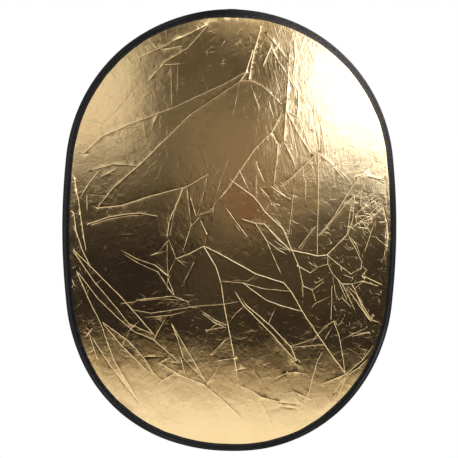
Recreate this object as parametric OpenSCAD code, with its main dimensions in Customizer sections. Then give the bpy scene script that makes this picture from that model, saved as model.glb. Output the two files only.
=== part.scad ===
// Collapsible oval reflector: a sprung steel hoop in a sewn tape binding, with a gold film
// panel on the front and a silver film panel on the back.
// Drawn flat with the gold side up, then stood upright: x is right, z is up, the gold side
// faces minus y and the origin is the middle of the oval. All sizes are in millimetres.

/* [Outline] */
// Height over the binding
panel_h = 1200; // [1100:1:1400]
// Width over the binding, kept to the nearest 0.72
panel_w = 908.4; // [800:0.72:1000]

/* [Hoop] */
// Depth of the steel band, front to back
band_w = 6; // [4:0.5:8]
// Thickness of the steel band
band_t = 1; // [0.8:0.1:1.4]
// Gap between the two butted band ends
end_gap = 1; // [0.4:0.1:3]

/* [Ferrule] */
// Length of the sleeve along the band
ferrule_l = 46; // [36:1:70]
// Wall of the sleeve
ferrule_wall = 0.5; // [0.4:0.1:0.7]
// Crimps pressed into each wide wall of the sleeve over each band end
crimps = 3; // [1:1:4]
// Depth of one crimp
crimp_d = 0.25; // [0.15:0.05:0.3]
// Radius of the tool mark that a crimp leaves
crimp_r = 1.5; // [1:0.1:2.5]

/* [Cloth] */
// Thickness of the gold laminated cloth
gold_t = 0.4; // [0.3:0.05:0.6]
// Thickness of the silver laminated cloth
silver_t = 0.4; // [0.3:0.05:0.6]
// Length of cloth caught inside the binding
hem_w = 9.5; // [7:0.5:11]

/* [Binding] */
// Width of one leg of the folded tape, as seen from the front
tape_w = 18; // [16:0.5:22]
// Thickness of the woven tape
tape_t = 0.6; // [0.4:0.05:0.8]
// Flat width at the inner edge of each leg, where it lies on the cloth
tape_flat = 8; // [6:0.5:9]
// Outside radius of the folded nose
nose_r = 1.4; // [1.2:0.1:1.6]
// Length over which the end of the tape covers its start
lap_l = 27; // [18:1:45]
// Distance of the middle of the lap to the right of the top centre
lap_x = 8.5; // [-20:0.5:20]

/* [Seam] */
// Distance of the stitch line from the inner edge of the tape
seam_inset = 2.6; // [2:0.1:4]
// Diameter of the sewing thread
thread_d = 0.6; // [0.4:0.05:0.8]

/* [Fits] */
// Play between the band and the inside of the sleeve
grip_play = 0.05; // [0.03:0.01:0.1]
// Play between the sleeve and the tape tunnel
tunnel_play = 0.15; // [0.1:0.05:0.3]

/* [Hidden] */
// Segments in a large ring, and in a small corner or mark
ring_fn = 720;
small_fn = 32;

// The oval is four tangent arcs, two at the ends and two along the sides. The line through an
// end centre and a side centre has the slope of a 38, 360, 362 triangle, so that each centre
// and radius is a round number and the arcs meet exactly. One unit of that triangle:
unit = round((panel_h - panel_w) / 72 * 100) / 100;
half_h = round(panel_h * 50) / 100;
end_c = 38 * unit;
end_r = half_h - end_c;
side_c = 360 * unit;
side_r = end_r + 362 * unit;

// The rim section is drawn with u running inward from the outer edge and v toward the front.
sleeve_u = tape_t + tunnel_play;
band_u = sleeve_u + ferrule_wall + grip_play;
sleeve_end_u = band_u + band_t + grip_play + ferrule_wall;
nose_end_u = sleeve_end_u + tunnel_play;
sleeve_half = band_w / 2 + grip_play + ferrule_wall;
tunnel_half = sleeve_half + tunnel_play;
nose_half = tunnel_half + tape_t;
leg_u = tape_w - tape_flat;
hem_u = tape_w - hem_w;
seam_u = tape_w - seam_inset;
slab_h = 2 * band_w;

// Angles on the top arc, from the right about its centre, for a place or a length along it.
function arc_angle(len, u) = len / (end_r - u) * 180 / PI;
top_a = 90;
lap_a = arc_angle(lap_l, 0);
lap_from = top_a - arc_angle(lap_x, 0) - lap_a / 2;
lap_to = lap_from + lap_a;
riser_a = arc_angle(thread_d, seam_u);

// Where the top arc meets the sides, as points on the lines through the arc centres.
right_join = [side_c, 2 * end_c];
left_join = [-side_c, 2 * end_c];
top_right = [side_c, panel_h];
top_left = [-side_c, panel_h];

// Stands the flat drawing upright.
module stand() {
    rotate([90, 0, 0]) children();
}

// Turns the upper half of a thing into its lower half.
module below() {
    mirror([0, 1, 0]) children();
}

// Keeps what lies inside an outline in plan.
module keep(outline) {
    intersection() {
        children();
        translate([0, 0, -slab_h]) linear_extrude(2 * slab_h) polygon(outline);
    }
}

// A full turn of a rim section about the centre of the top arc.
module end_ring() {
    translate([0, end_c, 0]) rotate_extrude($fn = ring_fn) translate([end_r, 0]) mirror([1, 0]) children();
}

// A full turn of a rim section about the centre of the right side.
module side_ring() {
    translate([-side_c, 0, 0]) rotate_extrude($fn = ring_fn) translate([side_r, 0]) mirror([1, 0]) children();
}

// A rim section along the top arc between two angles.
function arc_point(angle) = [end_r * 2 * cos(angle), end_c + end_r * 2 * sin(angle)];
module top_arc(from, to) {
    keep([[0, end_c], arc_point(from), arc_point(to)]) end_ring() children();
}

// A rim section up both sides, from the fold line to the top arc.
module both_sides() {
    for (side = [0, 1])
        mirror([side, 0, 0])
        keep([[-side_c, 0], [side_c, 0], right_join]) side_ring() children();
}

// A rim section round the whole upper half of the oval.
module upper_rim() {
    keep([[0, end_c], right_join, top_right, top_left, left_join]) end_ring() children();
    both_sides() children();
}

// The upper half of the oval, drawn in by an inset from the outer edge.
module upper_oval(inset) {
    intersection() {
        translate([0, end_c]) circle(end_r - inset, $fn = ring_fn);
        polygon([[0, end_c], right_join, top_right, top_left, left_join]);
    }
    intersection() {
        translate([-side_c, 0]) circle(side_r - inset, $fn = ring_fn);
        translate([side_c, 0]) circle(side_r - inset, $fn = ring_fn);
        polygon([[-side_c, 0], [side_c, 0], right_join, [0, end_c], left_join]);
    }
}

// A slab between two values of u, rounded at its outer corners by r.
module nose_block(u0, u1, half, r) {
    translate([u0 + r, -half]) square([u1 - u0 - r, 2 * half]);
    translate([u0, -half + r]) square([r, 2 * (half - r)]);
    for (side = [-1, 1])
        translate([u0 + r, side * (half - r)]) circle(r, $fn = small_fn);
}

// The folded tape as a solid: a rounded nose, two legs that close on the cloth and a flat.
module tape_solid(nose_u, half, r, front, back, end_u) {
    nose_block(nose_u, nose_end_u, half, r);
    polygon([
        [nose_end_u, half],
        [leg_u, front],
        [end_u, front],
        [end_u, -back],
        [leg_u, -back],
        [nose_end_u, -half]
    ]);
}

// The outside of the tape, grown where a lap lies over it.
module tape_outside(grow) {
    tape_solid(
        -grow, nose_half + grow, nose_r + grow,
        gold_t + tape_t + grow, silver_t + tape_t + grow, tape_w
    );
}

// The tunnel for the hoop and the slot for the cloth.
module tape_inside() {
    tape_solid(tape_t, tunnel_half, nose_r - tape_t, gold_t, silver_t, tape_w + 1);
}

module tape_section() {
    difference() {
        tape_outside(0);
        tape_inside();
    }
}

// One more layer of tape, where the end of the tape lies over its start.
module lap_section() {
    difference() {
        tape_outside(tape_t);
        tape_inside();
    }
}

module band_section() {
    translate([band_u, -band_w / 2]) square([band_t, band_w]);
}

// The wall of the sleeve, with all four outer corners rounded.
module sleeve_section() {
    corner_r = ferrule_wall + grip_play;
    middle_u = band_u + band_t / 2;
    difference() {
        union() {
            nose_block(sleeve_u, middle_u, sleeve_half, corner_r);
            translate([2 * middle_u, 0]) mirror([1, 0])
                nose_block(sleeve_u, middle_u, sleeve_half, corner_r);
        }
        translate([band_u - grip_play, -band_w / 2 - grip_play])
            square([band_t + 2 * grip_play, band_w + 2 * grip_play]);
    }
}

// A row of thread, pressed flat on a surface at height v.
module thread_section(v) {
    translate([seam_u - thread_d / 2, v]) square([thread_d, thread_d / 2]);
}

// The thread where it climbs the end of the lap.
module riser_section(v) {
    translate([seam_u - thread_d / 2, v]) square([thread_d, tape_t + thread_d / 2]);
}

// A row of stitches round the upper half that steps over the lap.
module upper_thread(v) {
    keep([[0, end_c], right_join, arc_point(lap_from - riser_a)]) end_ring() thread_section(v);
    top_arc(lap_from - riser_a, lap_from) riser_section(v);
    top_arc(lap_from, lap_to) thread_section(v + tape_t);
    top_arc(lap_to, lap_to + riser_a) riser_section(v);
    keep([[0, end_c], arc_point(lap_to + riser_a), top_left, left_join])
        end_ring() thread_section(v);
    both_sides() thread_section(v);
}

// One flat steel band bent into the oval, with its ends butted at the top centre.
module spring_hoop() {
    color("silver") stand() difference() {
        union() {
            upper_rim() band_section();
            below() upper_rim() band_section();
        }
        translate([-end_gap / 2, half_h - tape_w, -slab_h]) cube([end_gap, tape_w, 2 * slab_h]);
    }
}

// The sleeve over both band ends, with crimps across its wide walls.
module hoop_ferrule() {
    half_a = arc_angle(ferrule_l, band_u) / 2;
    step_a = half_a / (crimps + 1);
    crimp_out = crimp_r - crimp_d;
    color("gray") stand() difference() {
        top_arc(top_a - half_a, top_a + half_a) sleeve_section();
        for (side = [-1, 1], i = [1 : crimps], u = [sleeve_u - crimp_out, sleeve_end_u + crimp_out])
            translate([0, end_c, 0])
                rotate([0, 0, top_a + side * i * step_a])
                translate([end_r - u, 0, -slab_h])
                cylinder(r = crimp_r, h = 2 * slab_h, $fn = small_fn);
    }
}

module gold_sheet() {
    linear_extrude(gold_t) upper_oval(hem_u);
}

module silver_sheet() {
    translate([0, 0, -silver_t]) linear_extrude(silver_t) upper_oval(hem_u);
}

module gold_panel_upper() {
    color("gold") stand() gold_sheet();
}

module gold_panel_lower() {
    color("gold") stand() below() gold_sheet();
}

module silver_panel_upper() {
    color("lightgray") stand() silver_sheet();
}

module silver_panel_lower() {
    color("lightgray") stand() below() silver_sheet();
}

// The tape is folded over the hoop and the cloth edges, and its end laps its start at the top.
module edge_binding_upper() {
    color("black") stand() {
        upper_rim() tape_section();
        top_arc(lap_from, lap_to) lap_section();
    }
}

module edge_binding_lower() {
    color("black") stand() below() upper_rim() tape_section();
}

module needle_thread_upper() {
    color("dimgray") stand() upper_thread(gold_t + tape_t);
}

module needle_thread_lower() {
    color("dimgray") stand() below() upper_rim() thread_section(gold_t + tape_t);
}

module bobbin_thread_upper() {
    color("dimgray") stand() mirror([0, 0, 1]) upper_thread(silver_t + tape_t);
}

module bobbin_thread_lower() {
    color("dimgray") stand() mirror([0, 0, 1]) below() upper_rim() thread_section(silver_t + tape_t);
}

spring_hoop();
hoop_ferrule();
gold_panel_upper();
gold_panel_lower();
silver_panel_upper();
silver_panel_lower();
edge_binding_upper();
edge_binding_lower();
needle_thread_upper();
needle_thread_lower();
bobbin_thread_upper();
bobbin_thread_lower();
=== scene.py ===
"""Looks of the collapsible oval reflector: crinkled film, taped and stitched edge, sprung hoop.

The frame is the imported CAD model, in metres: x is right, z is up and the gold side faces minus y.
Shapes are worked out in millimetres and scaled when the meshes are made.
"""

import math
from collections import namedtuple

import bpy
import numpy as np
from mathutils.geometry import delaunay_2d_cdt
from mathutils.kdtree import KDTree
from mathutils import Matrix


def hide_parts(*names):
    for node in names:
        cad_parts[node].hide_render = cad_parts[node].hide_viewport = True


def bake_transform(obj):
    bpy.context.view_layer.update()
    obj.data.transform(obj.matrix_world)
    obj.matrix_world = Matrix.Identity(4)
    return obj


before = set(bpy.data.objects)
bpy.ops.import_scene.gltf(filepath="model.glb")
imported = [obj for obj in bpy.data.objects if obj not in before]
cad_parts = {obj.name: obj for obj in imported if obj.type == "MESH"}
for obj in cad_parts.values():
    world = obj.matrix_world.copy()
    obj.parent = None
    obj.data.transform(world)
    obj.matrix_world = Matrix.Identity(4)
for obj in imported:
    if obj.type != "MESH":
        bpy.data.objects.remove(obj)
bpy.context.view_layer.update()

MM = 0.001
TURN = 2 * math.pi

# The oval's four tangent arcs, as in the CAD model: how far out the middles of the end and side arcs lie,
# their radii, and the angle at which they join
END_C = 153.9
END_R = 446.1
SIDE_C = 1458.0
SIDE_R = 1912.2
JOIN = math.atan2(38, 360)

# The rim section: u runs inward from the outer edge and v toward the front
TAPE_T = 0.6
LEG_U = 10.0
NOSE_END_U = 3.0
NOSE_HALF = 4.3
SEAM_INSET = 2.6
CLOTH_T = 0.4
SHEET_GAP = 0.02
HEM_U = 10.6
BAND_U = 1.3
BAND_T = 1.0
BAND_HALF = 3.0
BAND_EDGE = 0.2
BAND_COUNT = 720
END_GAP = 1.0
LAP_FROM = -5.0
LAP_TO = 22.0

# The photograph's scale: where the oval's middle falls, and the size of one pixel on the film
PHOTO_SIDE = 458
MIDDLE_PX = (229.28, 229.9)
MM_PER_PX = 2.7186

# Folds that can be told apart in the photograph. Each is a line from corner to corner, given in pixels
# as x, y, x, y and so on
BOLD_FOLDS = [
    [318,152, 305,165, 291,178, 281,186], [246,72, 225,84, 209,91, 173,108, 134,123, 103,136, 84,153],
    [97,208, 123,205, 150,196, 186,187, 208,174], [281,115, 272,132, 256,148, 244,165, 228,189, 223,195],
    [204,246, 189,254, 175,259], [204,246, 220,254, 256,274, 284,283], [137,300, 154,298, 173,296, 189,302],
    [290,250, 305,253, 317,256, 327,255], [327,255, 338,244, 348,234, 353,219, 355,195],
    [319,235, 334,217, 344,200, 354,184, 366,169],
    [284,283, 292,293, 302,311, 317,334, 324,344, 335,360, 345,373], [234,290, 244,306, 272,334, 294,359],
    [241,297, 246,305, 271,326, 291,347, 296,360], [318,152, 318,200, 317,255],
    [88,224, 109,217, 126,214, 140,213, 157,216],
    [229,179, 254,197, 265,212, 283,229, 291,248, 299,267, 303,286],
    [204,247, 216,267, 221,283, 224,304, 228,325, 234,356, 238,378], [183,188, 175,207, 169,221, 167,236],
    [242,219, 254,223, 264,224, 276,236, 290,250],
]
FOLDS = [
    # top left
    [241,81, 227,90, 190,115, 175,130, 145,160, 113,188, 98,207], [208,25, 188,48, 165,62, 148,82],
    [207,25, 185,36, 160,47], [163,49, 181,46], [162,65, 179,64], [158,113, 153,124],
    [80,198, 90,182, 100,170], [93,170, 113,164, 140,166], [101,177, 116,169],
    # top right
    [240,81, 251,81, 262,86, 268,91, 274,97, 281,104], [261,28, 255,48, 252,62, 249,79],
    [253,50, 250,60, 246,72, 240,81], [267,34, 276,45, 285,57], [271,48, 279,63, 288,77, 295,90],
    [271,47, 267,56, 263,66], [289,55, 288,82, 286,111, 284,141], [286,111, 299,118, 301,128],
    [287,112, 299,135, 311,154], [272,132, 278,143, 284,142], [284,142, 292,158, 295,167],
    [278,144, 277,160, 275,172, 274,185],
    # middle left
    [91,225, 109,219, 126,216, 145,215], [75,180, 79,203, 82,224, 86,250], [74,213, 76,230, 82,249, 89,264],
    [74,250, 87,263, 106,282, 124,300, 154,334], [75,253, 93,280, 110,300, 129,323, 152,333],
    [78,273, 99,300, 117,317, 134,331, 154,340, 180,363], [77,272, 89,300, 100,321, 116,360, 138,395],
    [182,193, 174,213, 170,235], [187,188, 189,205, 191,226], [189,193, 196,216],
    [207,176, 203,195, 198,214], [230,156, 221,179, 214,204, 213,212], [213,211, 198,216],
    [213,208, 200,214], [199,218, 191,226, 186,242, 181,256], [201,221, 207,234], [169,240, 176,258],
    [169,240, 159,252, 151,255], [166,251, 152,255], [167,241, 167,259, 168,276], [175,259, 168,276],
    [121,250, 137,259, 155,265, 168,276], [123,254, 140,264, 158,272, 173,295], [168,278, 174,295],
    [197,256, 189,272, 180,290], [131,309, 151,313, 171,310, 196,306, 225,304, 241,301],
    [146,317, 171,315, 186,311], [166,318, 157,333, 154,340], [171,323, 178,340, 183,357],
    [171,323, 183,343, 193,359, 207,383], [183,358, 194,370, 207,383], [181,358, 186,376],
    [103,322, 129,340, 144,356, 154,371, 161,378], [104,324, 124,346, 149,370], [86,337, 93,328],
    [90,334, 98,356], [94,340, 109,361, 127,384, 140,401], [160,362, 180,374, 204,384, 221,398, 242,417],
    [207,383, 214,374, 220,361], [203,312, 215,320, 226,325], [204,315, 215,323, 226,328],
    # middle right
    [242,219, 258,220, 265,212, 270,202, 272,195], [347,234, 350,212, 352,200],
    [327,255, 339,265, 351,274, 361,268], [349,237, 356,249, 362,262, 361,269],
    [328,256, 328,264, 333,274, 342,284, 351,284, 364,281], [364,276, 381,284], [362,281, 378,286],
    [298,266, 310,273, 318,267, 328,264], [311,277, 316,283, 328,276], [303,286, 312,290, 325,281],
    [312,289, 316,301], [322,234, 348,201, 362,190], [318,152, 334,166, 348,179],
    [317,155, 304,167, 291,180, 283,186], [272,187, 281,194, 290,199], [262,189, 269,197],
    [271,204, 280,205, 278,217], [295,184, 292,205, 289,233], [239,170, 248,189], [256,176, 256,197],
    [257,164, 264,181], [315,227, 307,237, 299,248], [255,223, 266,240, 274,258, 283,278],
    [266,240, 277,249, 289,256], [225,206, 238,224, 251,241], [243,283, 222,281],
    [243,283, 265,289, 290,291], [243,283, 252,290, 266,300, 282,306, 301,311], [356,224, 372,218, 382,207],
    [362,221, 371,233, 365,251], [383,206, 387,222, 389,240], [368,176, 384,180],
    [368,176, 361,191, 360,206],
    # bottom right
    [291,346, 305,342, 316,338], [291,347, 324,344], [317,335, 326,326, 334,321], [324,340, 332,326],
    [332,284, 332,300, 331,319], [334,321, 339,336, 342,355, 344,371], [345,373, 335,377, 322,382],
    [346,373, 362,360, 374,345, 381,324], [346,374, 358,367, 370,356], [345,376, 340,386, 336,396],
    [345,376, 333,392], [343,285, 349,297, 355,310], [352,284, 362,304, 372,320], [349,290, 369,319],
    [372,320, 381,323], [352,336, 369,332], [322,351, 317,359, 312,375, 308,390, 303,398],
    [284,373, 295,371, 306,373], [239,385, 250,389, 261,396, 278,400], [261,400, 272,424],
    [243,307, 236,313, 230,321], [331,296, 316,303, 309,310], [275,309, 269,323],
]
FINE_FOLDS = [
    # middle right
    [262,188, 270,187, 274,183], [274,184, 280,191, 288,198], [295,195, 292,218, 291,235],
    [305,180, 305,205], [270,207, 276,203, 280,205], [267,213, 272,205, 270,198],
    [273,216, 280,223, 287,235, 290,245], [267,227, 276,238, 287,247, 290,252], [275,247, 282,249, 290,251],
    [276,242, 283,247, 289,250], [312,228, 308,237, 304,244, 301,250], [357,224, 355,216, 362,208, 373,202],
    [355,216, 363,215, 372,217, 382,208], [357,223, 367,217, 378,212], [360,210, 368,205, 377,198],
    [363,207, 365,213, 370,214, 378,205], [359,227, 367,228, 369,224, 364,222], [377,218, 373,227, 371,232],
    [351,238, 357,246, 361,258], [340,274, 347,276, 352,278, 357,274], [363,267, 367,270, 362,276, 364,278],
    [352,285, 355,289, 363,282], [314,263, 317,267], [309,262, 316,267], [303,287, 303,300],
    [333,277, 337,300], [338,280, 347,300], [245,282, 252,278, 258,273], [252,282, 258,277, 263,267],
    [227,281, 237,280, 248,281, 257,277], [385,180, 387,212],
    # middle left
    [223,195, 214,205], [213,212, 213,218, 212,225], [207,233, 205,245], [167,235, 167,218, 170,215],
    [161,235, 168,235], [177,260, 183,262, 188,263], [178,260, 186,267], [185,258, 189,253],
    [199,250, 202,257], [236,226, 241,232], [167,295, 168,277], [180,295, 193,295, 198,293],
    [154,259, 160,266, 169,276], [92,205, 98,209, 100,202], [87,196, 87,210], [214,178, 219,169, 225,160],
    [214,178, 213,192], [223,194, 235,176],
    # lower left
    [138,301, 160,299, 177,300, 188,301], [123,303, 133,302, 138,301], [187,301, 190,307, 197,308],
    [160,381, 174,373], [163,360, 170,357], [170,362, 178,363], [206,332, 215,325, 226,321],
    [207,330, 217,328, 225,327], [210,355, 225,340], [130,330, 137,323, 140,320], [125,325, 137,327],
    [120,352, 125,340, 130,332], [145,356, 160,356],
    # lower right
    [302,285, 303,307], [335,291, 339,300, 343,297, 341,289], [343,299, 351,307],
    [347,285, 357,295, 363,309, 371,321], [353,333, 370,333], [343,339, 355,333, 367,328],
    [335,321, 338,326, 343,319, 345,315], [283,340, 291,346], [287,354, 295,363, 299,365],
    [292,362, 297,359, 300,362], [275,379, 287,372], [278,401, 299,403], [235,371, 247,368],
    [253,361, 255,373, 261,381], [291,389, 309,397], [281,405, 295,407], [215,361, 235,358],
    [215,353, 223,343, 227,337],
    # top
    [288,77, 298,91, 298,105, 297,115], [320,155, 332,165, 344,179], [352,179, 360,163, 364,155],
    [356,177, 368,173], [80,154, 87,154],
]
FAINT_FOLDS = [
    [300,119, 306,137, 310,149], [290,121, 294,137, 298,155], [320,117, 320,149], [310,111, 310,129],
    [314,98, 322,131, 326,159], [303,96, 311,106, 318,148], [299,55, 294,72], [294,41, 295,60, 292,80],
    [157,217, 160,235, 163,237], [103,124, 100,128, 103,135], [131,62, 155,50, 171,44],
    [200,143, 204,155, 208,169, 214,179], [268,96, 274,118], [251,86, 258,105, 259,114],
    [239,84, 235,105, 231,121], [142,202, 167,215], [117,235, 137,234], [112,255, 125,262, 107,267],
    [134,262, 130,292], [92,287, 112,272], [131,140, 135,160], [140,400, 141,410], [178,65, 177,97],
    [171,65, 172,105], [118,70, 142,81], [137,87, 121,107, 103,124, 85,120], [200,70, 208,90],
    [143,118, 146,140], [182,105, 192,117], [88,194, 110,196, 124,203], [306,42, 319,74],
    [209,330, 199,357], [156,376, 159,393, 163,413], [179,379, 173,390, 166,413], [305,311, 316,317],
    [256,323, 254,353], [294,396, 305,404],
]
# Where small creases crowd together: middle, half width and half height in pixels, how many,
# the way most of them run and how far they stray from it in degrees, and how high the highest is
CRUMPLED = [
    (368, 212, 17, 24, 80, 0, 180, 0.055),
    (335, 262, 42, 30, 120, 30, 120, 0.065),
    (345, 310, 34, 34, 110, -55, 90, 0.06),
    (272, 215, 30, 36, 120, -60, 60, 0.06),
    (180, 235, 28, 38, 110, 100, 50, 0.06),
    (215, 190, 40, 36, 90, 110, 40, 0.045),
    (120, 245, 40, 36, 70, 20, 60, 0.04),
    (95, 200, 20, 25, 40, 20, 60, 0.035),
    (86, 290, 14, 44, 30, -60, 50, 0.035),
    (110, 335, 40, 26, 120, -50, 60, 0.03),
    (165, 303, 36, 11, 70, 5, 25, 0.06),
    (240, 290, 80, 40, 150, -40, 90, 0.055),
    (215, 345, 60, 24, 170, -30, 80, 0.028),
    (305, 350, 60, 30, 180, -20, 90, 0.028),
    (230, 395, 90, 32, 130, -25, 80, 0.016),
    (150, 385, 40, 30, 50, -45, 60, 0.016),
    (285, 110, 18, 62, 44, 95, 16, 0.02),
    (340, 165, 42, 30, 70, 60, 60, 0.024),
    (170, 70, 32, 30, 40, 45, 50, 0.035),
    (230, 50, 40, 26, 60, 60, 50, 0.045),
    (95, 130, 25, 40, 30, 30, 50, 0.015),
]

# Kinds of crease in those lists: height, width of the ridge, and height of the slopes beside it
CREASE_KINDS = [
    (BOLD_FOLDS, 0.115, 0.54, 0.06),
    (FOLDS, 0.08, 0.43, 0.03),
    (FINE_FOLDS, 0.058, 0.37, 0.018),
    (FAINT_FOLDS, 0.03, 0.5, 0.02),
]
RIDGES = 0.6
STRENGTH = (0.9, 1.35)
SLOPE_REACH = (22, 44)
# A crease strays from straight at the end of each stretch, fades toward its ends and ripples in height
STRETCH = 13.0
STRAY = 0.3
FADE_LENGTH = 26.0
FADE_SHARE = 0.42
RIPPLE = 0.22
RIPPLE_BEAT = (0.08, 0.24)
# Two creases meet where their corners are this near, and a loose end keeps a share of the height
MEETS_PX = 4
LOOSE_END = 0.4
SHORT_ENDS = (0.3, 0.3)
# The upper right of the film is pulled into harder creases
PULLED_X, PULLED_Z = 20, 90
PULLED = 1.3
# Kinds of short crease. Height is a share of the highest for a crumple, slope a share of the height
ShortKind = namedtuple("ShortKind", "length bend ridges height width slope reach")
BRANCH = ShortKind((14, 48), 0.5, 0.5, (0.008, 0.03), (0.34, 0.46), 1.0, (10, 20))
CRUMPLE = ShortKind((8, 38), 0.7, 0.5, (0.2, 0.8), (0.28, 0.4), 0.2, (6, 12))
PUCKER = ShortKind((12, 44), 0.7, 0.65, (0.01, 0.045), (0.6, 1.4), 0.5, (9, 16))
BRANCHES = 260
CRUMPLE_SPREAD = 0.5
PUCKER_U = 19.0
PUCKERS_APART = (11, 34)
PUCKERS_END = 12
SHORT_CLEAR = 24
# Phases are drawn from nearly a full turn
PHASES = (0, 6.28)
# How far inside the edge the relief starts and is whole
RELIEF_FROM, RELIEF_WHOLE = 17.5, 34

# The film's mesh: rows beside each crease, in widths of its ridge, rings at the hem, and a spread between
ROWS = (-0.7, 0.7, -2.2, 2.2)
ROWS_CLEAR = 19.5
LEAST_SPACE = 0.22
HEM_COUNT = 560
HEM_RINGS = (HEM_U, 15.0, 19.0)
SPREAD_STEP = 10.4
SPREAD_STRAY = 1.2
SPREAD_CLEAR = 23
SPREAD_SPACE = 4.4
LINING_STEP = 24.0
LINING_CLEAR = 22
ROW_RISE = 0.866
LEAST_AREA = 0.0005
MERGE = 0.01
SLOPE_STEP = 0.35

# The oval: each arc's middle, radius and the angles that it runs between, clockwise from the top
ARCS = [
    (0.0, END_C, END_R, math.pi / 2, JOIN),
    (-SIDE_C, 0.0, SIDE_R, JOIN, -JOIN),
    (0.0, -END_C, END_R, -JOIN, JOIN - math.pi),
    (SIDE_C, 0.0, SIDE_R, JOIN - math.pi, -JOIN - math.pi),
    (0.0, END_C, END_R, -JOIN - math.pi, -1.5 * math.pi),
]
ROUND = sum(r * (a - b) for _, _, r, a, b in ARCS)


def rim(s, u=0.0):
    """Points u inside the outer edge at arc length s, clockwise from the top, and the way out."""
    s = np.mod(np.asarray(s, float), ROUND)
    x, z, angle = np.zeros_like(s), np.zeros_like(s), np.zeros_like(s)
    start = 0.0
    for cx, cz, r, a, b in ARCS:
        length = r * (a - b)
        on = (s >= start) & (s <= start + length)
        angle[on] = a - (s[on] - start) / r
        depth = u if np.isscalar(u) else u[on]
        x[on] = cx + (r - depth) * np.cos(angle[on])
        z[on] = cz + (r - depth) * np.sin(angle[on])
        start += length
    return x, z, np.cos(angle), np.sin(angle)


def edge_distance(x, z):
    """How far inside the outer edge a point lies."""
    x, z = np.abs(x), np.abs(z)
    from_end = END_R - np.hypot(x, z - END_C)
    from_side = SIDE_R - np.hypot(x + SIDE_C, z)
    return np.where(z - END_C > x * math.tan(JOIN), from_end, from_side)


def smooth(low, high, value):
    """A soft step from 0 at low to 1 at high."""
    t = np.clip((value - low) / (high - low), 0, 1)
    return t * t * (3 - 2 * t)


# How far the sprung rim stands out of the true oval in the photograph: share of the way round, millimetres.
# The passes round off its corners, and the film follows it less and less up to the reach
BULGE = [
    (0, 0), (0.012, 0), (0.03, 0.4), (0.06, 1.6), (0.125, 1.8), (0.19, 1.0), (0.25, 0), (0.31, -1.6),
    (0.344, -0.4), (0.375, 2.9), (0.406, 6.2), (0.438, 7.0), (0.469, 5.0), (0.5, 0.3), (0.531, 1.5),
    (0.562, 5.4), (0.594, 7.6), (0.625, 5.8), (0.656, 1.3), (0.69, -0.8), (0.75, 0), (0.81, -0.2),
    (0.875, 1.1), (0.906, 1.8), (0.94, 0), (0.97, -0.6), (0.988, 0), (1, 0),
]
BULGE_REACH = 260.0
BULGE_COUNT = 720
BULGE_PASSES = 60
bulge_s = np.arange(BULGE_COUNT) * ROUND / BULGE_COUNT
bulge_x, bulge_z, bulge_nx, bulge_nz = rim(bulge_s)
bulge_turn = np.mod(np.arctan2(bulge_x, bulge_z), TURN)
bulge_out = np.interp(bulge_s / ROUND, *zip(*BULGE))
for _ in range(BULGE_PASSES):
    bulge_out = 0.25 * np.roll(bulge_out, 1) + 0.5 * bulge_out + 0.25 * np.roll(bulge_out, -1)


def settled(verts):
    """Points moved from the true oval to the rim as it stands."""
    x, z = verts[:, 0], verts[:, 2]
    turn = np.mod(np.arctan2(x, z), TURN)
    amount, nx, nz = (
        np.interp(turn, bulge_turn, values, period=TURN) for values in (bulge_out, bulge_nx, bulge_nz)
    )
    amount = amount * (1 - smooth(0, BULGE_REACH, edge_distance(x, z)))
    return verts + np.stack([amount * nx, np.zeros(len(verts)), amount * nz], 1)


# The film's relief
rng = np.random.default_rng(41)


def on_film(pixels):
    """Pixels of the photograph as places on the film."""
    p = np.reshape(pixels, (-1, 2))
    return np.stack([p[:, 0] - MIDDLE_PX[0], MIDDLE_PX[1] - p[:, 1]], 1) * MM_PER_PX


def stretches(a, b):
    """The way from a to b, how many stretches it has, and the way to its side."""
    leg = b - a
    length = math.hypot(*leg)
    return leg, max(1, int(round(length / STRETCH))), np.array([-leg[1], leg[0]]) / length


def wandering(points):
    """A line through the points that strays a little from straight."""
    line = [points[0]]
    for a, b in zip(points[:-1], points[1:]):
        leg, count, side = stretches(a, b)
        for i in range(1, count):
            line.append(a + leg * i / count + side * rng.normal(0, STRAY))
        line.append(b)
    return np.array(line)


class Fold:
    """One crease: a sharp ridge or furrow, with a shallow slope on each side."""

    def __init__(self, points, height, width, slope_height, reach, ends=SHORT_ENDS):
        self.points = points
        self.height = height
        self.width = width
        self.slope_height = slope_height
        self.reach = reach
        self.ends = ends
        self.beat = rng.uniform(*RIPPLE_BEAT)
        self.phase = rng.uniform(0, TURN)

    def add_to(self, total, x, z):
        """Adds the crease to the total height at points x and z."""
        low, high = self.points.min(0) - self.reach, self.points.max(0) + self.reach
        near = (x > low[0]) & (x < high[0]) & (z > low[1]) & (z < high[1])
        if not near.any():
            return
        px, pz = x[near], z[near]
        best, along, run = np.full(px.shape, np.inf), np.zeros(px.shape), 0.0
        for a, b in zip(self.points[:-1], self.points[1:]):
            d = b - a
            length = math.hypot(*d)
            t = np.clip(((px - a[0]) * d[0] + (pz - a[1]) * d[1]) / length**2, 0, 1)
            gap = np.hypot(px - a[0] - t * d[0], pz - a[1] - t * d[1])
            closer = gap < best
            best[closer] = gap[closer]
            along[closer] = run + t[closer] * length
            run += length
        fade = min(FADE_LENGTH, FADE_SHARE * run)
        taper = self.ends[0] + (1 - self.ends[0]) * smooth(0, fade, along)
        taper *= self.ends[1] + (1 - self.ends[1]) * smooth(0, fade, run - along)
        taper *= 1 + RIPPLE * np.sin(self.beat * along + self.phase)
        ridge = self.height * np.exp(-((best / self.width) ** 2))
        slopes = self.slope_height * np.clip(1 - best / self.reach, 0, 1)
        total[near] += taper * (ridge + slopes)


def either_way(ridges):
    """1 for a ridge or -1 for a furrow, of which the given share are ridges."""
    return 1 if rng.random() < ridges else -1


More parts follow.
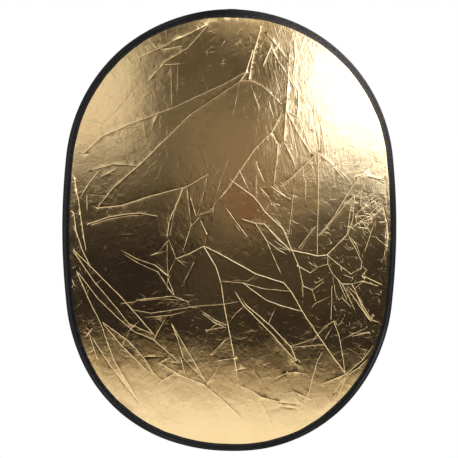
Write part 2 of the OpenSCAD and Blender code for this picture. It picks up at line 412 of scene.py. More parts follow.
def long_creases():
    """The creases listed by their pixels."""
    corners = np.concatenate([np.reshape(line, (-1, 2)) for lines, *_ in CREASE_KINDS for line in lines])

    def end_height(p):
        """A crease that meets another keeps its height there, and a loose end dies away."""
        meeting = np.hypot(corners[:, 0] - p[0], corners[:, 1] - p[1]) < MEETS_PX
        return 1.0 if meeting.sum() > 1 else LOOSE_END

    folds = []
    for lines, height, width, slope_height in CREASE_KINDS:
        for pixels in lines:
            strength = either_way(RIDGES) * rng.uniform(*STRENGTH)
            reach = rng.uniform(*SLOPE_REACH)
            points = wandering(on_film(pixels))
            if points[:, 0].mean() > PULLED_X and points[:, 1].mean() > PULLED_Z:
                strength *= PULLED
            ends = (end_height(pixels[:2]), end_height(pixels[-2:]))
            folds.append(Fold(points, height * strength, width, slope_height * strength, reach, ends))
    return folds


def bent_line(start, turn, kind):
    """A short line that bends once, half way."""
    length = rng.uniform(*kind.length)
    bend = turn + rng.uniform(-kind.bend, kind.bend)
    middle = start + 0.5 * length * np.array([math.cos(turn), math.sin(turn)])
    end = middle + 0.5 * length * np.array([math.cos(bend), math.sin(bend)])
    return np.array([start, middle, end])


def short_fold(points, kind, highest=1.0):
    height = either_way(kind.ridges) * highest * rng.uniform(*kind.height)
    return Fold(points, height, rng.uniform(*kind.width), kind.slope * height, rng.uniform(*kind.reach))


def clear_of_edge(points):
    return edge_distance(points[:, 0], points[:, 1]).min() >= SHORT_CLEAR


def branches(parents):
    """Short creases that branch off the long ones."""
    folds = []
    for _ in range(BRANCHES):
        parent = parents[rng.integers(len(parents))]
        i = rng.integers(len(parent.points) - 1)
        start = parent.points[i] + rng.random() * (parent.points[i + 1] - parent.points[i])
        points = bent_line(start, rng.uniform(0, TURN), BRANCH)
        if clear_of_edge(points):
            folds.append(short_fold(points, BRANCH))
    return folds


def crumples():
    """Crowds of small creases."""
    folds = []
    for px, py, half_x, half_y, count, way, stray, highest in CRUMPLED:
        for _ in range(count):
            spot = rng.normal(0, CRUMPLE_SPREAD, 2)
            start = on_film([px + spot[0] * half_x, py + spot[1] * half_y])[0]
            points = bent_line(start, math.radians(way + rng.uniform(-stray, stray)), CRUMPLE)
            if clear_of_edge(points):
                folds.append(short_fold(points, CRUMPLE, highest))
    return folds


def puckers():
    """Short creases that run in from the stitched edge."""
    folds = []
    s = 0.0
    while s < ROUND - PUCKERS_END:
        s += rng.uniform(*PUCKERS_APART)
        length = rng.uniform(*PUCKER.length)
        x, z, nx, nz = (float(v[0]) for v in rim([s], PUCKER_U))
        lean = rng.uniform(-PUCKER.bend, PUCKER.bend)
        way = math.cos(lean) * np.array([-nx, -nz]) + math.sin(lean) * np.array([nz, -nx])
        start = np.array([x, z])
        points = np.array([start, start + 0.5 * length * way, start + length * way])
        folds.append(short_fold(points, PUCKER))
    return folds


def make_waves(count, short, long, tilt):
    """Slow swells of the film, as directions, phases and heights."""
    waves = []
    for _ in range(count):
        length = rng.uniform(short, long)
        turn = rng.uniform(0, TURN)
        k = TURN / length
        waves.append((k * math.cos(turn), k * math.sin(turn), rng.uniform(*PHASES), tilt / k))
    return waves


FILM_FOLDS = long_creases()
FILM_FOLDS += branches(FILM_FOLDS)
FILM_FOLDS += crumples()
FILM_FOLDS += puckers()
SWELLS = make_waves(12, 190, 420, 0.0007) + make_waves(18, 45, 95, 0.0004)


def relief(x, z):
    """Height of the film toward the front, in millimetres."""
    total = np.zeros_like(x)
    for fold in FILM_FOLDS:
        fold.add_to(total, x, z)
    for kx, kz, phase, height in SWELLS:
        total += height * np.sin(kx * x + kz * z + phase)
    return total * smooth(RELIEF_FROM, RELIEF_WHOLE, edge_distance(x, z))


def nearest_among(points):
    """A tree that finds the nearest of some flat points."""
    tree = KDTree(len(points))
    for i, point in enumerate(points):
        tree.insert((point[0], point[1], 0), i)
    tree.balance()
    return tree


def ring(u):
    """Points all round the oval, u inside the outer edge."""
    x, z, _, _ = rim(np.arange(HEM_COUNT) * ROUND / HEM_COUNT, u)
    return list(zip(x.tolist(), z.tolist()))


def even_spread(step):
    """Points in staggered rows over the whole oval."""
    columns = math.ceil((SIDE_R - SIDE_C) / step)
    rows = math.ceil((END_C + END_R) / (step * ROW_RISE))
    for j in range(-rows, rows + 1):
        for i in range(-columns, columns + 1):
            yield (i + 0.5 * (j % 2)) * step, j * step * ROW_RISE


def film_points():
    """The points and lines of the film's mesh."""
    kept, taken, lines = [], {}, set()

    def number_of(p):
        """The number of a point, or of one already kept very near it."""
        cell = (int(math.floor(p[0] / LEAST_SPACE)), int(math.floor(p[1] / LEAST_SPACE)))
        for i in (-1, 0, 1):
            for j in (-1, 0, 1):
                for q in taken.get((cell[0] + i, cell[1] + j), ()):
                    if math.hypot(p[0] - kept[q][0], p[1] - kept[q][1]) < LEAST_SPACE:
                        return q
        taken.setdefault(cell, []).append(len(kept))
        kept.append(p)
        return len(kept) - 1

    for row in ROWS:
        for fold in FILM_FOLDS:
            last = -1
            for a, b in zip(fold.points[:-1], fold.points[1:]):
                leg, count, side = stretches(a, b)
                for i in range(count + 1):
                    p = a + leg * i / count + side * row * fold.width
                    if edge_distance(p[0], p[1]) < ROWS_CLEAR:
                        last = -1
                        continue
                    here = number_of((float(p[0]), float(p[1])))
                    if last >= 0 and here != last:
                        lines.add((min(last, here), max(last, here)))
                    last = here
    near_rows = nearest_among(kept)
    spread = []
    for x, z in even_spread(SPREAD_STEP):
        x += rng.uniform(-SPREAD_STRAY, SPREAD_STRAY)
        z += rng.uniform(-SPREAD_STRAY, SPREAD_STRAY)
        if edge_distance(x, z) > SPREAD_CLEAR and near_rows.find((x, z, 0))[2] > SPREAD_SPACE:
            spread.append((x, z))
    hem = [point for u in HEM_RINGS for point in ring(u)]
    return kept + hem + spread, sorted(lines)


def lining_points():
    """The hidden side of a sheet: the same edge, and wide spaces between."""
    inside = [p for p in even_spread(LINING_STEP) if edge_distance(*p) > LINING_CLEAR]
    return ring(HEM_U) + inside, []


def cut_flat(points, lines):
    """Triangles between flat points that keep the lines, all turned the same way."""
    flat, _, faces, _, _, _ = delaunay_2d_cdt(points, lines, [], 0, MERGE)
    flat = np.array([(p[0], p[1]) for p in flat])
    tris = np.array(faces, int)
    a, b, c = flat[tris[:, 0]], flat[tris[:, 1]], flat[tris[:, 2]]
    area = (b[:, 0] - a[:, 0]) * (c[:, 1] - a[:, 1]) - (b[:, 1] - a[:, 1]) * (c[:, 0] - a[:, 0])
    tris = tris[np.abs(area) > LEAST_AREA]
    area = area[np.abs(area) > LEAST_AREA]
    tris[area < 0] = tris[area < 0][:, ::-1]
    return flat, tris


def new_object(name, verts, faces):
    mesh = bpy.data.meshes.new(name)
    mesh.from_pydata([tuple(v) for v in verts], [], faces)
    mesh.update()
    obj = bpy.data.objects.new(name, mesh)
    bpy.context.scene.collection.objects.link(obj)
    mesh.polygons.foreach_set("use_smooth", [True] * len(mesh.polygons))
    return obj


flat, tris = cut_flat(*film_points())
fx, fz = flat[:, 0], flat[:, 1]
height = relief(fx, fz)
slope_x = (relief(fx + SLOPE_STEP, fz) - relief(fx - SLOPE_STEP, fz)) / (2 * SLOPE_STEP)
slope_z = (relief(fx, fz + SLOPE_STEP) - relief(fx, fz - SLOPE_STEP)) / (2 * SLOPE_STEP)
back_flat, back_tris = cut_flat(*lining_points())
back_height = relief(back_flat[:, 0], back_flat[:, 1])


def film_sheet(name, show_y, hide_y):
    """A closed sheet of cloth. Both sides follow the relief, the hidden one at fewer points."""
    turned = 1 if show_y < hide_y else -1
    show = np.stack([fx, show_y - height, fz], 1)
    hide = np.stack([back_flat[:, 0], hide_y - back_height, back_flat[:, 1]], 1)
    count = len(show)
    near = nearest_among(flat)
    ends = [near.find((point[0], point[1], 0))[1] for point in back_flat[:HEM_COUNT]]
    rim_faces = []
    for i in range(HEM_COUNT):
        k = (i + 1) % HEM_COUNT
        rim_faces.append((ends[i], ends[k], count + k, count + i)[::turned])
    faces = tris[:, ::turned].tolist() + (back_tris[:, ::-turned] + count).tolist() + rim_faces
    obj = new_object(name, settled(np.concatenate([show, hide])) * MM, faces)
    normal = -turned * np.stack([slope_x, np.ones(count), slope_z], 1)
    normal /= np.linalg.norm(normal, axis=1)[:, None]
    hidden = np.zeros((len(hide), 3))
    hidden[:, 1] = turned
    obj.data.normals_split_custom_set_from_vertices(np.concatenate([normal, hidden]).tolist())
    return obj


gold_film = film_sheet("gold_film", SHEET_GAP - CLOTH_T, -SHEET_GAP)
silver_film = film_sheet("silver_film", CLOTH_T - SHEET_GAP, SHEET_GAP)

# The binding: a tape folded over the hoop and the cloth. How far in it reaches: share of the way round,
# millimetres
TAPE_REACH = [
    (0, 22.8), (0.012, 22.8), (0.03, 20.4), (0.12, 17.4), (0.25, 16.2), (0.34, 17.6), (0.4, 21.2),
    (0.44, 19), (0.5, 19.2), (0.56, 20.4), (0.6, 20.7), (0.69, 19.6), (0.75, 19.6), (0.81, 19.7),
    (0.88, 21.2), (0.94, 20), (0.985, 21.2), (1, 22.8),
]
TAPE_COUNT = 1424
LAP_COUNT = 13
LAP_WIDER = 0.5
LAP_GAP = 0.03
STRAIGHT_LIFT = 0.35
MAP_STEP = 0.0015


def make_waver(counts, heights, number):
    """Waves along the rim, as how many go round, their heights and their phases."""
    return [(int(n), rng.uniform(*heights), rng.uniform(*PHASES)) for n in rng.integers(*counts, number)]


def waver(s, waves):
    """A small wandering of a size along the rim."""
    return sum(a * np.sin(TURN * n * s / ROUND + p) for n, a, p in waves)


EDGE_WAVER = make_waver((9, 75), (0.05, 0.16), 14)
LIFT_WAVER = make_waver((90, 420), (0.02, 0.06), 22)


def tape_width(s):
    return np.interp(np.mod(s, ROUND) / ROUND, *zip(*TAPE_REACH)) + waver(s, EDGE_WAVER)


def tape_outline(width, lift, grow):
    """The outside of the folded tape, from its front edge over the nose to its back edge."""
    flat_v = CLOTH_T + TAPE_T + grow
    half = NOSE_HALF + grow
    front = [
        (width, flat_v - 0.1 + lift),
        (width - 0.5, flat_v + lift),
        (width - SEAM_INSET, flat_v - 0.03 + 0.3 * lift),
        (0.5 * (width - SEAM_INSET + LEG_U), flat_v + 0.02 + 0.5 * lift),
        (LEG_U, flat_v + 0.05),
        (8.0, flat_v + 0.75),
        (5.5, 0.55 * half + 0.45 * flat_v + 0.35),
        (NOSE_END_U, half - 0.15),
        (1.7 - grow, half),
        (0.75 - grow, half - 0.35),
        (0.2 - grow, half - 1.0),
        (-grow, half - 2.0),
    ]
    back = [(u, -v) for u, v in reversed(front)]
    return front + [(-grow, 0.0)] + back


def tape_lining(width):
    """The inside of the folded tape, from its back edge over the hoop to its front edge."""
    slot = CLOTH_T + SHEET_GAP
    half = NOSE_HALF - TAPE_T
    nose = [(TAPE_T, half - 1.4), (NOSE_END_U, half), (6.5, 0.5 * (half + slot))]
    front = nose + [(LEG_U, slot), (width, slot)]
    back = [(u, -v) for u, v in reversed(front)]
    return back + [(TAPE_T, 0.0)] + front


def tube_faces(rings, sides, joined=False, capped=False):
    """Faces of a tube from ring to ring, with its ends joined, capped or open."""
    faces = []
    for i in range(rings if joined else rings - 1):
        k = (i + 1) % rings
        for j in range(sides):
            l = (j + 1) % sides
            faces.append((i * sides + j, i * sides + l, k * sides + l, k * sides + j))
    if capped:
        faces.append(tuple(range(sides))[::-1])
        faces.append(tuple(range((rings - 1) * sides, rings * sides)))
    return faces


def sweep(s, outline, joined):
    """Carries a section, given as pairs of u and v, along the rim. Returns points and faces."""
    lines = []
    for u, v in outline:
        x, z, _, _ = rim(s, np.broadcast_to(u, s.shape))
        lines.append(np.stack([x, np.broadcast_to(-v, s.shape), z], 1))
    return np.stack(lines, 1).reshape(-1, 3), tube_faces(len(s), len(outline), joined, not joined)


def tape_map(s, verts):
    """Where the points of a swept tape lie in its weave: along the rim and across it, in metres."""
    count = len(verts) // len(s)
    return np.stack([np.repeat(s, count) * MM, np.arange(len(verts)) % count * MAP_STEP], 1)


def make_binding():
    """The tape all round, and the lap of its end over its start at the top."""
    width = tape_width(rim_s)
    lift = np.where(np.abs(rim(rim_s)[1]) > END_C, 1.0, STRAIGHT_LIFT) * waver(rim_s, LIFT_WAVER)
    verts, faces = sweep(rim_s, tape_outline(width, lift, 0.0) + tape_lining(width), True)
    lap_s = np.linspace(LAP_FROM, LAP_TO, LAP_COUNT)
    lap_width = tape_width(lap_s) + LAP_WIDER
    lap_inside = tape_outline(lap_width, 0.0, LAP_GAP)[::-1]
    lap_verts, lap_faces = sweep(lap_s, tape_outline(lap_width, 0.0, TAPE_T) + lap_inside, False)
    faces += [tuple(i + len(verts) for i in face) for face in lap_faces]
    obj = new_object("tape_binding", settled(np.concatenate([verts, lap_verts])) * MM, faces)
    weave = np.concatenate([tape_map(rim_s, verts), tape_map(lap_s, lap_verts)])
    loop_vert = np.zeros(len(obj.data.loops), int)
    obj.data.loops.foreach_get("vertex_index", loop_vert)
    layer = obj.data.uv_layers.new(name="tape")
    layer.data.foreach_set("uv", weave[loop_vert].astype(np.float32).ravel())
    return obj


rim_s = np.arange(TAPE_COUNT) * ROUND / TAPE_COUNT
binding = make_binding()

# Stitches: their pitch, half their length as a share of it, and their path: place along, radius, rise
STITCH_PITCH = 4.0
STITCH_HALF = 0.41
STITCH_PATH = [
    (-1.0, 0.06, -0.16), (-0.72, 0.25, 0.02), (0.0, 0.3, 0.12), (0.72, 0.25, 0.02), (1.0, 0.06, -0.16),
]
STITCH_SIDES = 6
STITCH_TILT = (0.05, 0.2)


def stitch_row(name, front):
    """All the stitches on one side. Each dips into the tape at both ends."""
    turned = 1 if front else -1
    row_u = float(np.mean(tape_width(rim_s))) - SEAM_INSET
    count = int((ROUND - TURN * row_u) / STITCH_PITCH)
    s = (np.arange(count) + 0.5) * ROUND / count
    half_s = STITCH_HALF * ROUND / count
    seam_u = tape_width(s) - SEAM_INSET
    over_lap = np.where((s > ROUND + LAP_FROM) | (s < LAP_TO), TAPE_T, 0.0)
    tilt = rng.uniform(*STITCH_TILT, count)
    lines = []
    for along, radius, rise in STITCH_PATH:
        x, z, nx, nz = rim(s + along * half_s, seam_u + along * tilt)
        v = CLOTH_T + TAPE_T + over_lap + rise
        for k in range(STITCH_SIDES):
            a = TURN * k / STITCH_SIDES
            out = radius * math.cos(a)
            lines.append(np.stack([x + out * nx, -turned * (v + radius * math.sin(a)), z + out * nz], 1))
    one_stitch = tube_faces(len(STITCH_PATH), STITCH_SIDES, capped=True)
    firsts = range(0, count * len(lines), len(lines))
    faces = [tuple(first + i for i in face)[::turned] for first in firsts for face in one_stitch]
    return new_object(name, settled(np.stack(lines, 1).reshape(-1, 3)) * MM, faces)


needle_stitches = stitch_row("needle_stitches", True)
bobbin_stitches = stitch_row("bobbin_stitches", False)


def make_band():
    """The steel band, butted at the top."""
    s = np.linspace(END_GAP / 2, ROUND - END_GAP / 2, BAND_COUNT)
    inner_u = BAND_U + BAND_T
    outside = [(BAND_U, BAND_EDGE - BAND_HALF), (BAND_U, BAND_HALF - BAND_EDGE)]
    front = [(BAND_U + BAND_EDGE, BAND_HALF), (inner_u - BAND_EDGE, BAND_HALF)]
    inside = [(inner_u, BAND_HALF - BAND_EDGE), (inner_u, BAND_EDGE - BAND_HALF)]
    back = [(inner_u - BAND_EDGE, -BAND_HALF), (BAND_U + BAND_EDGE, -BAND_HALF)]
    verts, faces = sweep(s, front + inside + back + outside, False)
    return new_object("hoop_band", settled(verts) * MM, [face[::-1] for face in faces])


hoop_band = make_band()

# Where the Mix node has its colours
MIX_BELOW, MIX_ABOVE, MIX_RESULT = 6, 7, 2


# Materials
def feed(made, values):
    """Sets a node's inputs, each to a value or to another node's output."""
    for key, value in values.items():
        if isinstance(value, bpy.types.NodeSocket):
            made.id_data.links.new(value, made.inputs[key])
        else:
            made.inputs[key].default_value = value


def node(tree, kind, values, **settings):
    made = tree.nodes.new("ShaderNode" + kind)
    for key, setting in settings.items():
        setattr(made, key, setting)
    feed(made, values)
    return made


def new_material(name):
    """A material, its node tree, and the place of a point in the frame."""
    material = bpy.data.materials.new(name)
    material.use_nodes = True
    tree = material.node_tree
    return material, tree, node(tree, "TexCoord", {}).outputs["Object"]


def shade(tree, values):
    feed(tree.nodes["Principled BSDF"], values)


def noise(place, scale, detail, roughness=0.5, distortion=0.0):
    values = {"Scale": scale, "Detail": detail, "Roughness": roughness, "Distortion": distortion}
    return node(place.id_data, "TexNoise", {"Vector": place, **values}).outputs["Fac"]


def maths(operation, *values):
    """Arithmetic on values, the first of them another node's output."""
    return node(values[0].id_data, "Math", dict(enumerate(values)), operation=operation).outputs[0]


def times(a, b):
    return maths("MULTIPLY", a, b)


def step(value, low, high, least=0.0, most=1.0):
    """A soft step from least at low to most at high."""
    values = {"Value": value, "From Min": low, "From Max": high, "To Min": least, "To Max": most}
    return node(value.id_data, "MapRange", values, interpolation_type="SMOOTHSTEP").outputs["Result"]


def distance(place, point):
    return node(place.id_data, "VectorMath", {0: place, 1: point}, operation="DISTANCE").outputs["Value"]


def over(factor, below, colour):
    """A colour laid over what is below it, as far as the factor says."""
    values = {0: factor, MIX_BELOW: below, MIX_ABOVE: (*colour, 1)}
    return node(factor.id_data, "Mix", values, data_type="RGBA").outputs[MIX_RESULT]


def ramp(factor, stops):
    made = node(factor.id_data, "ValToRGB", {"Fac": factor})
    elements = made.color_ramp.elements
    while len(elements) < len(stops):
        elements.new(0.5)
    for element, (place, colour) in zip(elements, stops):
        element.position = place
        element.color = (*colour, 1)
    return made.outputs["Color"]


def grey_ramp(factor, low, high):
    """A grey that changes between two stops, each a place and a value."""
    return ramp(factor, [(place, (value, value, value)) for place, value in (low, high)])


def bump(height, depth, below=None):
    values = {"Distance": depth, "Height": height}
    if below is not None:
        values["Normal"] = below
    return node(height.id_data, "Bump", values).outputs["Normal"]


# Folds of the film too fine to model, in metres. Streaks slant, and are drawn tight at the upper right
STREAK_SIZE = (0.008, 1.0, 0.042)
STREAK_SLANT = (0.0, -0.16, 0.0)
STREAK_DEPTH = 0.000105
STREAK_LEAST, STREAK_MORE = 0.15, 0.85
DRAWN_X = (0.02, 0.12)
DRAWN_Z = (0.04, 0.16)
RIPPLE_DEPTH = 0.00009
CRACKLE_DEPTH = 0.000006
# Nets of hair creases, in patches, which are calmer toward the top and the bottom
NET_SCALES = (21.0, 47.0)
NET_LINE = 0.0011
NET_PATCH = 0.8
NET_DEPTH = 0.00003
NET_CALM = 0.25
CALM_Z = (0.28, 0.48)


def film_material(name, dull, bright):
    """Mirror film, uneven in tone and haze, with its finest folds."""
    material, tree, place = new_material(name)
    axes = node(tree, "SeparateXYZ", {0: place}).outputs
    laid = {"Vector": place, "Scale": STREAK_SIZE, "Rotation": STREAK_SLANT}
    slanted = node(tree, "Mapping", laid, vector_type="TEXTURE").outputs["Vector"]
    pull = times(step(axes["X"], *DRAWN_X), step(axes["Z"], *DRAWN_Z))
    drawn = maths("MULTIPLY_ADD", pull, STREAK_MORE, STREAK_LEAST)
    normal = bump(times(noise(slanted, 1.0, 2.0, 0.6, 0.7), drawn), STREAK_DEPTH)
    normal = bump(noise(place, 42.0, 2.0, 0.5, 0.5), RIPPLE_DEPTH, normal)
    normal = bump(noise(place, 190.0, 3.0, 0.6, 1.0), CRACKLE_DEPTH, normal)
    calm = step(maths("ABSOLUTE", axes["Z"]), *CALM_Z, 1.0, NET_CALM)
    for scale in NET_SCALES:
        net = node(tree, "TexVoronoi", {"Vector": place, "Scale": scale}, feature="DISTANCE_TO_EDGE")
        line = grey_ramp(net.outputs["Distance"], (0.0, 1.0), (NET_LINE * scale, 0.0))
        patch = grey_ramp(noise(place, NET_PATCH * scale, 1.0), (0.49, 0.0), (0.65, 1.0))
        normal = bump(times(times(line, patch), calm), NET_DEPTH, normal)
    tone = ramp(noise(place, 6.0, 4.0, 0.6), [(0.3, dull), (0.7, bright)])
    haze = grey_ramp(noise(place, 17.0, 5.0, 0.65), (0.3, 0.045), (0.7, 0.075))
    shade(tree, {"Base Color": tone, "Roughness": haze, "Normal": normal, "Metallic": 1.0})
    return material


# The tape's dye, more worn from one stop to the next, and a painted sheen: grey painted on at the upper
# right where a lamp's sheen falls
DYE = [(0.3, (0.004, 0.0036, 0.004)), (0.55, (0.006, 0.0053, 0.0056)), (0.78, (0.012, 0.0108, 0.0108))]
PAINTED_SHEEN_AT = (0.34, 0.0, 0.44)
PAINTED_SHEEN_FROM, PAINTED_SHEEN_MOST = 0.42, 0.05
PAINTED_SHEEN_GREY = (0.14, 0.123, 0.114)
# Depths of the tape's ribs, the thread's twist and the steel's grain, in metres
RIB_DEPTH = 0.00007
TWIST_DEPTH = 0.0001
GRAIN_DEPTH = 0.00003


def tape_material():
    """Black ribbed tape with a slight shine, and a painted grey sheen at the upper right."""
    material, tree, place = new_material("binding_tape")
    along = node(tree, "UVMap", {}, uv_map="tape").outputs["UV"]
    ribs = node(tree, "TexWave", {"Vector": along, "Scale": 330.0, "Distortion": 1.2, "Detail": 2.0})
    wear = noise(place, 26.0, 6.0, 0.7)
    # Painted sheen: grey laid over the dye near the upper right and broken up by noise stands in for a
    # lamp's sheen
    painted_sheen = step(distance(place, PAINTED_SHEEN_AT), PAINTED_SHEEN_FROM, PAINTED_SHEEN_MOST)
    sheen_mottle = grey_ramp(noise(place, 170.0, 4.0, 0.75), (0.34, 0.25), (0.7, 1.0))
    shade(tree, {
        "Base Color": over(times(painted_sheen, sheen_mottle), ramp(wear, DYE), PAINTED_SHEEN_GREY),
        "Roughness": grey_ramp(wear, (0.3, 0.42), (0.7, 0.62)),
        "Normal": bump(ribs.outputs["Fac"], RIB_DEPTH),
        "Specular IOR Level": 0.04,
        "Coat Weight": 0.6,
        "Coat Roughness": 0.12,
        "Sheen Weight": 0.05,
        "Sheen Roughness": 0.4,
    })
    return material


def thread_material():
    material, tree, place = new_material("sewing_thread")
    twist = noise(place, 900.0, 3.0)
    colour = ramp(twist, [(0.3, (0.01, 0.01, 0.013)), (0.7, (0.028, 0.028, 0.034))])
    shade(tree, {"Base Color": colour, "Normal": bump(twist, TWIST_DEPTH), "Roughness": 0.45})
    return material


def steel_material(name, low, high):
    material, tree, place = new_material(name)
    grain = noise(place, 420.0, 4.0, 0.7)
    shade(tree, {
        "Base Color": ramp(grain, [(0.3, low), (0.7, high)]),
        "Roughness": grey_ramp(grain, (0.3, 0.28), (0.7, 0.45)),
        "Normal": bump(grain, GRAIN_DEPTH),
        "Metallic": 1.0,
    })
    return material


def finish_with(obj, material):
    obj.data.materials.append(material)


thread = thread_material()
band_steel = steel_material("spring_steel", (0.38, 0.38, 0.4), (0.55, 0.55, 0.56))
finish_with(gold_film, film_material("gold_film", (0.93, 0.68, 0.345), (0.965, 0.735, 0.40)))
finish_with(silver_film, film_material("silver_film", (0.83, 0.83, 0.82), (0.90, 0.90, 0.89)))
finish_with(binding, tape_material())
finish_with(needle_stitches, thread)
finish_with(bobbin_stitches, thread)
finish_with(hoop_band, band_steel)
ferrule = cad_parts["hoop_ferrule"]
ferrule.data.materials.clear()
ferrule.data.materials.append(steel_material("ferrule_steel", (0.5, 0.5, 0.5), (0.66, 0.66, 0.65)))

# Which CAD parts each piece stands in for; those parts are hidden
for obj, nodes in (
    (gold_film, ("gold_panel_upper", "gold_panel_lower")),
    (silver_film, ("silver_panel_upper", "silver_panel_lower")),
    (binding, ("edge_binding_upper", "edge_binding_lower")),
    (needle_stitches, ("needle_thread_upper", "needle_thread_lower")),
    (bobbin_stitches, ("bobbin_thread_upper", "bobbin_thread_lower")),
    (hoop_band, ("spring_hoop",)),
):
    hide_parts(*nodes)
    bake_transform(obj)

# Camera, square on as in the photograph
CAMERA_AWAY = 5.0
SENSOR = 36.0
scene = bpy.context.scene
camera_data = bpy.data.cameras.new("camera")
camera_data.sensor_width = SENSOR
camera_data.lens = SENSOR * CAMERA_AWAY / (PHOTO_SIDE * MM_PER_PX * MM)
camera = bpy.data.objects.new("camera", camera_data)
scene.collection.objects.link(camera)
camera_x = (PHOTO_SIDE / 2 - MIDDLE_PX[0]) * MM_PER_PX * MM
camera_z = (MIDDLE_PX[1] - PHOTO_SIDE / 2) * MM_PER_PX * MM
camera.location = (camera_x, -CAMERA_AWAY, camera_z)
camera.rotation_euler = (math.pi / 2, 0, 0)
scene.camera = camera
scene.view_settings.view_transform = "Standard"

# Surroundings: white to the camera and to mirrors, and softer as a light
SKY_LIGHT = 0.55
scene.world = bpy.data.worlds.new("world")
scene.world.use_nodes = True
sky = scene.world.node_tree
rays = node(sky, "LightPath", {}).outputs
seen = maths("MAXIMUM", rays["Is Camera Ray"], rays["Is Glossy Ray"])
seen = maths("MAXIMUM", seen, rays["Is Transmission Ray"])
level = node(sky, "MapRange", {"Value": seen, "To Min": SKY_LIGHT, "To Max": 1.0}).outputs["Result"]
feed(sky.nodes["Background"], {"Color": (1, 1, 1, 1), "Strength": level})


def softbox(name, place, aim, side, power, colour):
    """A square lamp, turned to its aim."""
    data = bpy.data.lights.new(name, "AREA")
    data.shape = "RECTANGLE"
    data.size, data.size_y = side, side
    data.energy = power
    data.color = colour
    lamp = bpy.data.objects.new(name, data)
    scene.collection.objects.link(lamp)
    lamp.location = place
    way = np.array(aim, float) - np.array(place, float)
    flat_way = math.hypot(way[0], way[1])
    lamp.rotation_euler = (math.atan2(flat_way, -way[2]), 0, math.atan2(-way[0], way[1]))


softbox("key", (2.0, -1.7, 2.0), (0, 0, 0.1), 2.0, 42, (1, 0.97, 0.92))
softbox("fill", (-2.6, -2.2, 1.3), (0, 0, 0), 2.0, 24, (0.95, 0.97, 1))


# The studio, which only mirrors see
def only_in_mirrors(obj):
    for ray in ("visible_camera", "visible_diffuse", "visible_transmission", "visible_shadow"):
        setattr(obj, ray, False)


def glow(obj, material, tone):
    """Gives an object a material that glows in a tone."""
    tree = material.node_tree
    tree.nodes.remove(tree.nodes["Principled BSDF"])
    emission = node(tree, "Emission", {"Color": tone}).outputs[0]
    feed(tree.nodes["Material Output"], {"Surface": emission})
    obj.data.materials.append(material)


# A graded card behind the camera, and one across from it for the back. Places on it are given in metres
# on the film, as the camera sees the card there
CARD_AWAY = 5.6
CARD_HALF_X, CARD_HALF_Z = 1.9, 1.75
CARD_SCALE = 1 + CARD_AWAY / CAMERA_AWAY
CARD_DARK = (0.023, 0.02, 0.021, 1)
EDGE_WHITE = (1.7, 1.7, 1.66)


def tone_card(obj):
    material, tree, place = new_material("studio_card")
    axes = node(tree, "SeparateXYZ", {0: place}).outputs
    x, z = axes["X"], axes["Z"]

    def band(value, low, high, least=0.0):
        """A soft step up from least."""
        return step(value, low * CARD_SCALE, high * CARD_SCALE, least)

    def across(x_share, z_share):
        """A distance along a slanting way."""
        return maths("MULTIPLY_ADD", z, z_share, times(x, x_share))

    def spot(spot_x, spot_z, low, high):
        """A soft round spot."""
        middle = (spot_x * CARD_SCALE, -CARD_AWAY, spot_z * CARD_SCALE)
        return band(distance(place, middle), low, high)

    middle_x = times(band(x, -0.2, -0.08), band(x, 0.46, 0.3))
    # Each tone lies over those before it
    tones = [
        # a dim middle, lighter above, and its top
        (times(middle_x, band(z, -0.32, -0.12)), (0.062, 0.053, 0.045)),
        (times(band(x, -0.18, 0.02, 0.5), band(z, -0.09, 0.24)), (0.25, 0.22, 0.183)),
        (band(z, 0.25, 0.45), (0.1, 0.087, 0.072)),
        (band(z, 0.49, 0.58), (0.26, 0.235, 0.2)),
        (times(band(z, 0.47, 0.57), band(x, -0.08, 0.12)), (0.55, 0.49, 0.4)),
        # a haze with a warm spot in it
        (spot(0.055, 0.15, 0.25, 0.0), (0.255, 0.209, 0.167)),
        (spot(0.044, 0.067, 0.075, 0.02), (0.2, 0.118, 0.077)),
        # a pale upper right and upper left, and a lamp's glow at the right
        (times(band(x, 0.05, 0.2), band(z, 0.03, 0.24)), (0.5, 0.44, 0.355)),
        (times(band(across(1, -0.08), -0.178, -0.376), band(z, 0.08, 0.31)), (0.8, 0.78, 0.76)),
        (times(band(x, 0.13, 0.3), band(across(0.33, 1), 0.16, 0.46)), (2.2, 2.5, 3.2)),
        # a white foot
        (band(across(0.085, 1), -0.28, -0.45), (0.42, 0.36, 0.27)),
        (band(across(0.085, 1), -0.365, -0.55), (1.03, 1.03, 1.03)),
        # white past the sides and the top
        (band(x, 0.49, 0.57), EDGE_WHITE),
        (band(x, -0.49, -0.57), EDGE_WHITE),
        (band(z, 0.58, 0.68), EDGE_WHITE),
    ]
    tone = CARD_DARK
    for factor, colour in tones:
        tone = over(factor, tone, colour)
    glow(obj, material, tone)


corners = [(x * CARD_HALF_X, -CARD_AWAY, z * CARD_HALF_Z) for x, z in ((-1, -1), (1, -1), (1, 1), (-1, 1))]
card = new_object("studio_card", corners, [(3, 2, 1, 0)])
card_behind = bpy.data.objects.new("studio_card_behind", card.data)
card_behind.rotation_euler = (0, 0, math.pi)
scene.collection.objects.link(card_behind)
only_in_mirrors(card)
only_in_mirrors(card_behind)
tone_card(card)

# The rest of the studio: a ball round the reflector, uneven in tone
STUDIO_R = 6.6
STUDIO_RINGS = 25
STUDIO_SIDES = 48
STUDIO_TONES = [(0.37, (0.1, 0.095, 0.085)), (0.5, (0.42, 0.41, 0.39)), (0.6, (1.1, 1.1, 1.1))]


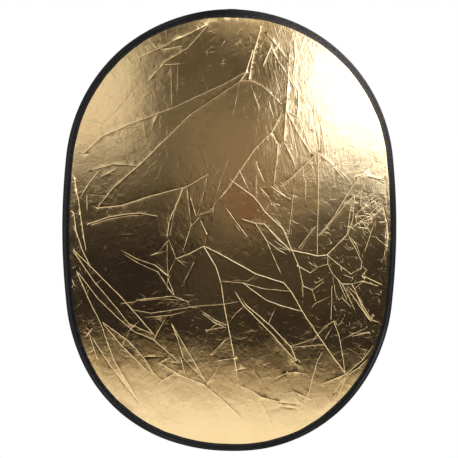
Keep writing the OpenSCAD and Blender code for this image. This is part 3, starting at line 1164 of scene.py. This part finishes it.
def make_studio():
    verts = []
    for i in range(STUDIO_RINGS):
        rise = math.pi * (i / (STUDIO_RINGS - 1) - 0.5)
        ring_r = STUDIO_R * math.cos(rise)
        for j in range(STUDIO_SIDES):
            turn = TURN * j / STUDIO_SIDES
            verts.append((ring_r * math.cos(turn), ring_r * math.sin(turn), STUDIO_R * math.sin(rise)))
    obj = new_object("studio", verts, tube_faces(STUDIO_RINGS, STUDIO_SIDES))
    only_in_mirrors(obj)
    material, tree, place = new_material("studio")
    glow(obj, material, ramp(noise(place, 0.55, 1.0), STUDIO_TONES))
    return obj


studio = make_studio()

# A pale floor under the reflector, which fades into the white around it
FLOOR_Z = -0.72
FLOOR_R = 6.0
FLOOR_SIDES = 96
FADE_MIDDLE_Y = -0.7
FADE_X, FADE_Y = 2.4, 1.5
FADE_FROM = 0.5
FLOOR_GREY = (0.86, 0.86, 0.86, 1)


def make_floor():
    verts = [(0, 0, FLOOR_Z)]
    faces = []
    for i in range(FLOOR_SIDES):
        a = TURN * i / FLOOR_SIDES
        verts.append((FLOOR_R * math.cos(a), FLOOR_R * math.sin(a), FLOOR_Z))
        faces.append((0, 1 + i, 1 + (i + 1) % FLOOR_SIDES))
    obj = new_object("floor", verts, faces)
    obj.visible_glossy = False
    material, tree, place = new_material("floor")
    shade(tree, {"Base Color": FLOOR_GREY, "Roughness": 0.8})
    laid = {"Scale": (1 / FADE_X, 1 / FADE_Y, 0.0), "Location": (0, -FADE_MIDDLE_Y / FADE_Y, 0)}
    oval = node(tree, "Mapping", {"Vector": place, **laid}).outputs["Vector"]
    reach = node(tree, "VectorMath", {0: oval}, operation="LENGTH").outputs["Value"]
    pale = tree.nodes["Principled BSDF"].outputs[0]
    white = node(tree, "Emission", {}).outputs[0]
    faded = node(tree, "MixShader", {"Fac": step(reach, FADE_FROM, 1.0), 1: pale, 2: white}).outputs[0]
    feed(tree.nodes["Material Output"], {"Surface": faded})
    obj.data.materials.append(material)
    return obj


floor = make_floor()
